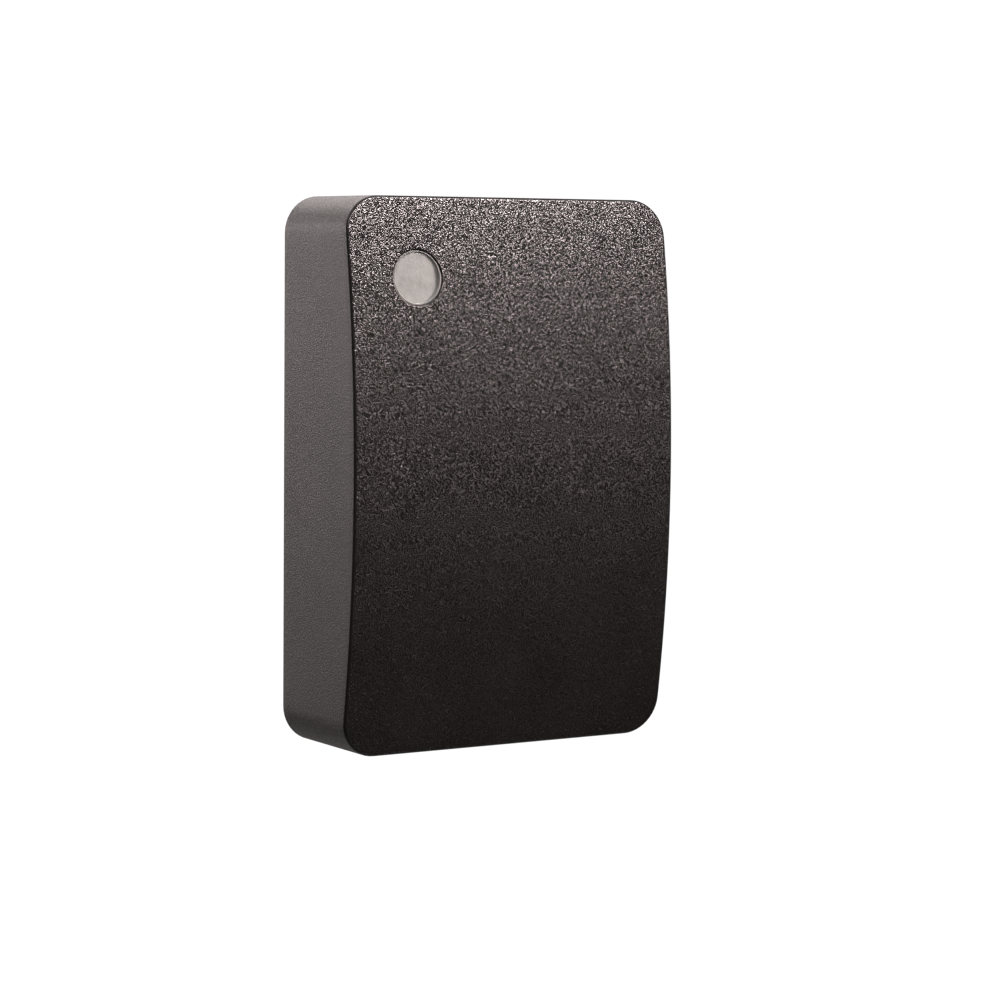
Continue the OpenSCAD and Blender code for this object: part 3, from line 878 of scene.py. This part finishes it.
def make_controller():
    x, z = seat("controller_chip")
    body = block_mm((x - 5, BOARD + 0.2, z - 5), (x + 5, BOARD + 1.4, z + 5), 0.2)
    dot = rod_mm(x - 3.8, z + 3.8, 0.45, BOARD + 2, BOARD + 1.32, 24)
    piece_from_mesh("controller_body", cut(body, dot), CHIP_RESIN, "chip_resin", "cover", "controller_chip")
    leads = []
    for index in range(8):
        along = (index - 3.5) * 1.1
        for side in (-1, 1):
            leads.append(lead(x + side * 4.95, z + along, side, 0, 1.05, 0.4))
            leads.append(lead(x + along, z + side * 4.95, 0, side, 1.05, 0.4))
    new_piece("controller_leads", joined(*leads), TIN, "steel", "cover")


def make_regulator():
    left, right = span("voltage_regulator", "x")
    low, high = span("voltage_regulator", "z")
    body = block_mm((left, BOARD + 0.1, low + 2.6), (right, BOARD + 2.3, high - 2.9), 0.25)
    new_piece("regulator_body", body, CHIP_RESIN, "chip_resin", "cover", "voltage_regulator")
    tab = block_mm((left + 0.55, BOARD, high - 3.4), (right - 0.55, BOARD + 0.8, high), 0.08)
    legs = [lead((left + right) / 2 + side * 2.3, low + 2.8, 0, -1, 2.8, 0.8) for side in (-1, 1)]
    new_piece("regulator_leads", joined(tab, *legs), TIN, "steel", "cover")


def make_radio():
    x, z = seat("radio_chip")
    chip = block_mm((x - 3, BOARD + 0.05, z - 3), (x + 3, BOARD + 0.9, z + 3), 0.06)
    dot = rod_mm(x - 2.2, z + 2.2, 0.3, BOARD + 2, BOARD + 0.84, 20)
    piece_from_mesh("radio_body", cut(chip, dot), CHIP_RESIN, "chip_resin", "cover", "radio_chip")
    pads = []
    for index in range(7):
        along = (index - 3) * 0.8
        for side in (-1, 1):
            pads.append(pad(x + side * 3.0, z + along, 0.7, 0.4))
            pads.append(pad(x + along, z + side * 3.0, 0.4, 0.7))
    new_piece("radio_pads", joined(*pads), TIN, "steel", "cover")


def make_crystal():
    x, z = seat("crystal")
    can = pillbox(x, z, 5, 3.2, 0.9, 0.25, 1.2, 0.3)
    rim = pillbox(x, z, 5, 3.2, 0.9, 0, 0.3, 0.1)
    new_piece("crystal_can", joined(can, rim), STEEL, "steel", "cover", "crystal")


def make_inductor():
    """A round-cornered core with a shallow well in its top."""
    x, z = seat("inductor")
    core = pillbox(x, z, 7, 7, 1.5, 0, 3, 0.4)
    well = rod_mm(x, z, 2.3, BOARD + 4, BOARD + 2.75, 40)
    piece_from_mesh("inductor_body", cut(core, well), FERRITE, "dark_plastic", "cover", "inductor")


def pad(x, z, width, height):
    """A tinned rectangle on the board's rear face."""
    return block_mm((x - width / 2, BOARD - 0.02, z - height / 2),
                    (x + width / 2, BOARD + 0.05, z + height / 2))


def pillbox(x, z, width, height, radius, low, high, edge):
    """A low block over the board with rounded corners and a rounded top edge. Millimetres."""
    top = high - edge
    rows = [(0, low), (0, top), (edge * 0.13, top + edge * 0.5), (edge * 0.5, top + edge * 0.87),
            (edge, top + edge)]
    rings = []
    for inset, y in rows:
        outline = rounded_outline(width / 2, height / 2, radius, inset, 6, 2, 2)
        rings.append(in_metres((x + a, BOARD + y, z + b) for a, b in outline))
    bm = bmesh.new()
    made = skin(bm, rings)
    bm.faces.new(made[0])
    bm.faces.new(made[-1])
    return bm


def make_resistors():
    """Two rows of six chip resistors with tinned ends."""
    left = span("chip_resistors", "x")[0]
    top = span("chip_resistors", "z")[1]
    bodies, ends, pads = [], [], []
    for column in range(6):
        for row in range(2):
            x, z = left + 0.8 + 3.2 * column, top - 0.4 - 3 * row
            bodies.append(block_mm((x - 0.55, BOARD + 0.02, z - 0.4), (x + 0.55, BOARD + 0.5, z + 0.4), 0.03))
            for side in (-1, 1):
                near, far = sorted((x + side * 0.5, x + side * 0.8))
                ends.append(block_mm((near, BOARD, z - 0.4), (far, BOARD + 0.48, z + 0.4), 0.05))
                pads.append(pad(x + side * 0.85, z, 0.6, 0.9))
    new_piece("resistor_bodies", joined(*bodies), CERAMIC, "ceramic_chip", "cover", "chip_resistors")
    new_piece("resistor_ends", joined(*ends, *pads), TIN, "steel", "cover")


def make_coil():
    """Antenna wound from round wire: flat turns side by side, two layers deep."""
    low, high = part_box("antenna_coil")
    centre = (low + high) / 2
    wire = (high.y - low.y) / 4
    half_w, half_h = (high.x - low.x) / 2, (high.z - low.z) / 2
    turns = 7
    gap = 3.2 * MM / turns
    parts = []
    for layer in range(2):
        for turn in range(turns):
            outline = rounded_outline(half_w, half_h, 4 * MM, gap * (turn + 0.5), 8, 3, 3)
            y = low.y + wire + 2 * wire * layer
            parts.append(wire_loop(outline, centre, y, min(wire, gap / 2) * 0.97))
    new_piece("coil_turns", joined(*parts), COPPER, "copper_wire", "cover", "antenna_coil")


def wire_loop(outline, centre, y, radius):
    """A closed loop of thin round wire that follows an outline."""
    rings = []
    for i, (x, z) in enumerate(outline):
        before, after = outline[i - 1], outline[(i + 1) % len(outline)]
        along = Vector((after[0] - before[0], after[1] - before[1])).normalized()
        rings.append([(centre.x + x + along.y * radius * c, y + radius * s,
                       centre.z + z - along.x * radius * c) for c, s in spokes(6)])
    bm = bmesh.new()
    made = skin(bm, rings)
    bridge(bm, made[-1], made[0])
    return bm


def make_spring():
    low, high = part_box("tamper_spring")
    centre = (low + high) / 2
    wire = 0.2 * MM
    reach = (high.x - low.x) / 2 - wire
    turns, steps = 5, 32
    rings = []
    for i in range(turns * steps + 1):
        angle = 2 * math.pi * i / steps
        y = low.y + wire + (high.y - low.y - 2 * wire) * i / (turns * steps)
        rings.append([(centre.x + (reach + wire * c) * math.cos(angle), y + wire * s,
                       centre.z + (reach + wire * c) * math.sin(angle)) for c, s in spokes(10)])
    bm = bmesh.new()
    made = skin(bm, rings)
    bm.faces.new(made[0])
    bm.faces.new(made[-1])
    new_piece("tamper_spring_coil", bm, STEEL, "steel", "cover", "tamper_spring")


def make_plunger():
    low, high = span("tamper_plunger", "y")
    profile = [(0, high), (0.6, high - 0.02), (1.1, high - 0.2), (1.3, high - 0.6), (1.3, low + 0.85),
               (1.35, low + 0.8), (2.1, low + 0.8), (2.2, low + 0.7), (2.2, low + 0.1), (2.1, low), (0, low)]
    turned("tamper_plunger_pin", "tamper_plunger", profile, WHITE_PLASTIC, "white_plastic",
           "tamper_plunger")


def make_buzzer():
    profile = [(0, 0), (5.7, 0), (5.9, 0.2), (5.9, 0.9), (6.0, 1.0), (6.0, 6.0), (5.85, 6.35), (5.5, 6.5),
               (1.4, 6.5), (1.1, 6.4), (1.0, 6.2), (1.0, 5.0), (0, 5.0)]
    profile = [(r, BOARD + y) for r, y in profile]
    turned("buzzer_case", "buzzer", profile, CHIP_RESIN, "chip_resin", steps=64)


# What is printed and etched on the board's rear face, in millimetres.
COPPER_RUNS = (
    ((-7.5, 9), (-7.5, 2), (-3, -4), (-3, -30)), ((-2.5, 9), (-2.5, 3), (0, 0), (0, -30)),
    ((2.5, 9), (2.5, 3), (5, 0), (21, 0)), ((7.5, 9), (7.5, 5), (10, 3), (20, 3)),
    ((-8, -36), (-12, -32), (-14, -30)), ((-8, -38), (-18, -38), (-20, -36), (-20, -30), (-22, -25)),
    ((-8, -40), (-10, -42), (-10, -48)), ((-13, -26), (-16, -22), (-21, -22)),
    ((4, -36), (14, -36), (17, -33)), ((4, -34), (12, -34), (12, -14), (20, -10)),
    ((24, -6), (24, 0)), ((12, 36), (12, 28), (24, 16), (24, 10)),
    ((20, 36), (20, 30), (28, 22), (28, -8)), ((-24, -19), (-24, -6)),
    ((-16, 34), (-16, 24), (-12, 20), (-12, -8), (-6, -14), (-6, -30)),
    ((-27, -22), (-30, -19), (-30, 10), (-26, 14), (-26, 30), (-24, 34)),
    ((1, -31), (1, -26), (7, -20), (7, -4)), ((-26, -43), (-26, -44)), ((-20, -43), (-20, -44)),
    ((3, -41), (8, -46), (26, -46), (30, -42), (30, -20)),
)
PRINTED_FRAMES = (                 # x, z, width, height
    (0, 12.5, 22, 10.4), (-2, -36, 13.5, 13.5), (-24, -22, 8.4, 8.4), (24, 4.6, 8.6, 13),
    (24, -10, 8.4, 8.4), (12, 40, 7.4, 7.4), (20, 40, 7.4, 7.4), (20, -32, 8, 8),
    (-21, -1, 7.8, 8.2), (-14, -28, 6.4, 4.6),
)
TERMINAL_PADS_X = (-7.5, -2.5, 2.5, 7.5)
TEST_POINTS = ((-30, 40), (28, 30), (-30, -30), (10, -20), (14, 18), (-8, 26), (6, 30), (30, -30))


def make_traces():
    """Copper runs under the solder mask, pads and a white printed outline round each part."""
    copper = [strip(a, b, 0.45, 0.02) for run in COPPER_RUNS for a, b in zip(run, run[1:])]
    new_piece("board_traces", joined(*copper), MASKED_COPPER, "circuit_board", "cover")
    marks = []
    for x, z, w, h in PRINTED_FRAMES:
        corners = [(x + i * w / 2, z + j * h / 2) for i, j in ((-1, -1), (1, -1), (1, 1), (-1, 1))]
        marks += [strip(a, b, 0.18, 0.015) for a, b in zip(corners, corners[1:] + corners[:1])]
    new_piece("board_marks", joined(*marks), PRINT_WHITE, "white_plastic", "cover")
    pads = [ring_pad(x / MM, z / MM, 1.5, 3.0) for x, z in BOARD_BOSSES]
    pads += [pad(x, 7.2, 2.2, 1.4) for x in TERMINAL_PADS_X]
    pads += [ring_pad(x, z, 0.35, 0.7) for x, z in TEST_POINTS]
    new_piece("board_pads", joined(*pads), TIN, "steel", "cover")


def ring_pad(x, z, inner, outer):
    profile = [(inner, BOARD - 0.02), (outer, BOARD - 0.02), (outer, BOARD + 0.04), (inner, BOARD + 0.04)]
    return lathe_mm(profile, (x * MM, 0, z * MM))


def strip(start, end, width, thick):
    """A flat run on the board's rear face between two points, in millimetres, with its ends squared."""
    start, end = Vector(start), Vector(end)
    along = (end - start).normalized() * width / 2
    side = Vector((-along.y, along.x))
    a, b = start - along, end + along
    bm = bmesh.new()
    made = skin(bm, [in_metres((p.x, BOARD + y, p.y) for p in (a - side, b - side, b + side, a + side))
                     for y in (-0.01, thick)])
    bm.faces.new(made[0])
    bm.faces.new(made[1])
    return bm


finish_cad_nodes()
soften_cad_edges()
make_cover()
make_lens()
make_cover_screw()
make_insert()
make_board_screws()
make_terminal_screws()
make_grommet()
make_capacitors()
make_controller()
make_regulator()
make_radio()
make_crystal()
make_inductor()
make_resistors()
make_coil()
make_spring()
make_plunger()
make_buzzer()
make_traces()


# ---------------------------------------------------------------- studio

WHITE = 1.05                       # strength at which the surroundings show as plain white
FLOOR_Z = -1.2
FLOOR_HALF = 20
STUDIO_TINT = (1.0, 0.93, 0.92)
BACKDROP_LIGHT = 0.66
TOP_LIGHT = 0.3
ROOM_LIGHT = 0.018
LIGHT_TARGET = Vector((0, -0.02, 0.02))
LIGHTS = (                         # name, place in metres, width, height, watts
    ("key", (-0.7, -0.9, 0.95), 0.2, 0.2, 18),
    ("box_low", (0.77, -1.23, 0.39), 0.5, 0.26, 3.6),
    ("box_high", (0.59, -0.95, 1.0), 0.5, 0.4, 52),
    ("left_back", (-0.65, 1.0, 0.2), 0.6, 0.3, 3),
    ("top_back", (-0.1, 0.6, 0.9), 1.3, 0.9, 15),
    ("floor_bounce", (0.1, 0.25, -1.0), 2.0, 1.6, 5.5),
)


def area_light(name, place, width, height, power):
    data = bpy.data.lights.new(name, "AREA")
    data.shape = "RECTANGLE"
    data.size = width
    data.size_y = height
    data.energy = power
    data.color = STUDIO_TINT
    light = bpy.data.objects.new(name, data)
    SCENE.collection.objects.link(light)
    light.location = place
    light.rotation_mode = "QUATERNION"
    light.rotation_quaternion = (LIGHT_TARGET - Vector(place)).to_track_quat("-Z", "Y")
    light.visible_camera = False


def make_floor():
    """A white floor that only the camera sees."""
    bm = bmesh.new()
    corners = ((-1, -1), (1, -1), (1, 1), (-1, 1))
    bm.faces.new([bm.verts.new((FLOOR_HALF * x, FLOOR_HALF * y, FLOOR_Z)) for x, y in corners])
    mesh = bpy.data.meshes.new("floor")
    bm.to_mesh(mesh)
    bm.free()
    floor = bpy.data.objects.new("floor", mesh)
    SCENE.collection.objects.link(floor)
    material = bpy.data.materials.new("floor")
    material.use_nodes = True
    tree = material.node_tree
    glow = tree.nodes.new("ShaderNodeEmission")
    glow.inputs["Strength"].default_value = WHITE
    tree.links.new(glow.outputs[0], tree.nodes["Material Output"].inputs["Surface"])
    mesh.materials.append(material)
    floor.visible_diffuse = False
    floor.visible_glossy = False
    floor.visible_transmission = False
    floor.visible_shadow = False


def make_world():
    """White to the camera. As a light: a white backdrop behind, a soft ceiling and a dark room in front."""
    world = bpy.data.worlds.new("studio")
    world.use_nodes = True
    SCENE.world = world
    tree = world.node_tree
    add = tree.nodes.new
    link = tree.links.new

    # The ramps run over a ray's direction, -1 to 1: Y towards the wall and Z up.
    def ramp(value, low, high, to_low, to_high):
        node = add("ShaderNodeMapRange")
        node.interpolation_type = "SMOOTHSTEP"
        for name, number in (("From Min", low), ("From Max", high), ("To Min", to_low), ("To Max", to_high)):
            node.inputs[name].default_value = number
        link(value, node.inputs["Value"])
        return node.outputs["Result"]

    def calc(operation, a, b):
        node = add("ShaderNodeMath")
        node.operation = operation
        link(a, node.inputs[0])
        link(b, node.inputs[1])
        return node.outputs[0]

    seen = tree.nodes["Background"]
    seen.inputs["Color"].default_value = (1, 1, 1, 1)
    seen.inputs["Strength"].default_value = WHITE
    lit = add("ShaderNodeBackground")
    path = add("ShaderNodeLightPath")
    mix = add("ShaderNodeMixShader")
    lit.inputs["Color"].default_value = (*STUDIO_TINT, 1)
    place = add("ShaderNodeTexCoord")
    split = add("ShaderNodeSeparateXYZ")
    link(place.outputs["Generated"], split.inputs[0])
    backdrop = calc("MULTIPLY", ramp(split.outputs["Y"], 0.1, 0.7, 0, BACKDROP_LIGHT),
                    ramp(split.outputs["Z"], -0.5, 0.15, 0.1, 1))
    backdrop = calc("MULTIPLY", backdrop, ramp(split.outputs["Z"], 0.2, 0.5, 1, 0.2))
    ceiling = ramp(split.outputs["Z"], 0.1, 0.8, ROOM_LIGHT, TOP_LIGHT)
    link(calc("ADD", backdrop, ceiling), lit.inputs["Strength"])
    link(path.outputs["Is Camera Ray"], mix.inputs[0])
    link(lit.outputs[0], mix.inputs[1])
    link(seen.outputs[0], mix.inputs[2])
    link(mix.outputs[0], tree.nodes["World Output"].inputs["Surface"])


make_floor()
make_world()
for light in LIGHTS:
    area_light(*light)
SCENE.view_settings.view_transform = "Standard"
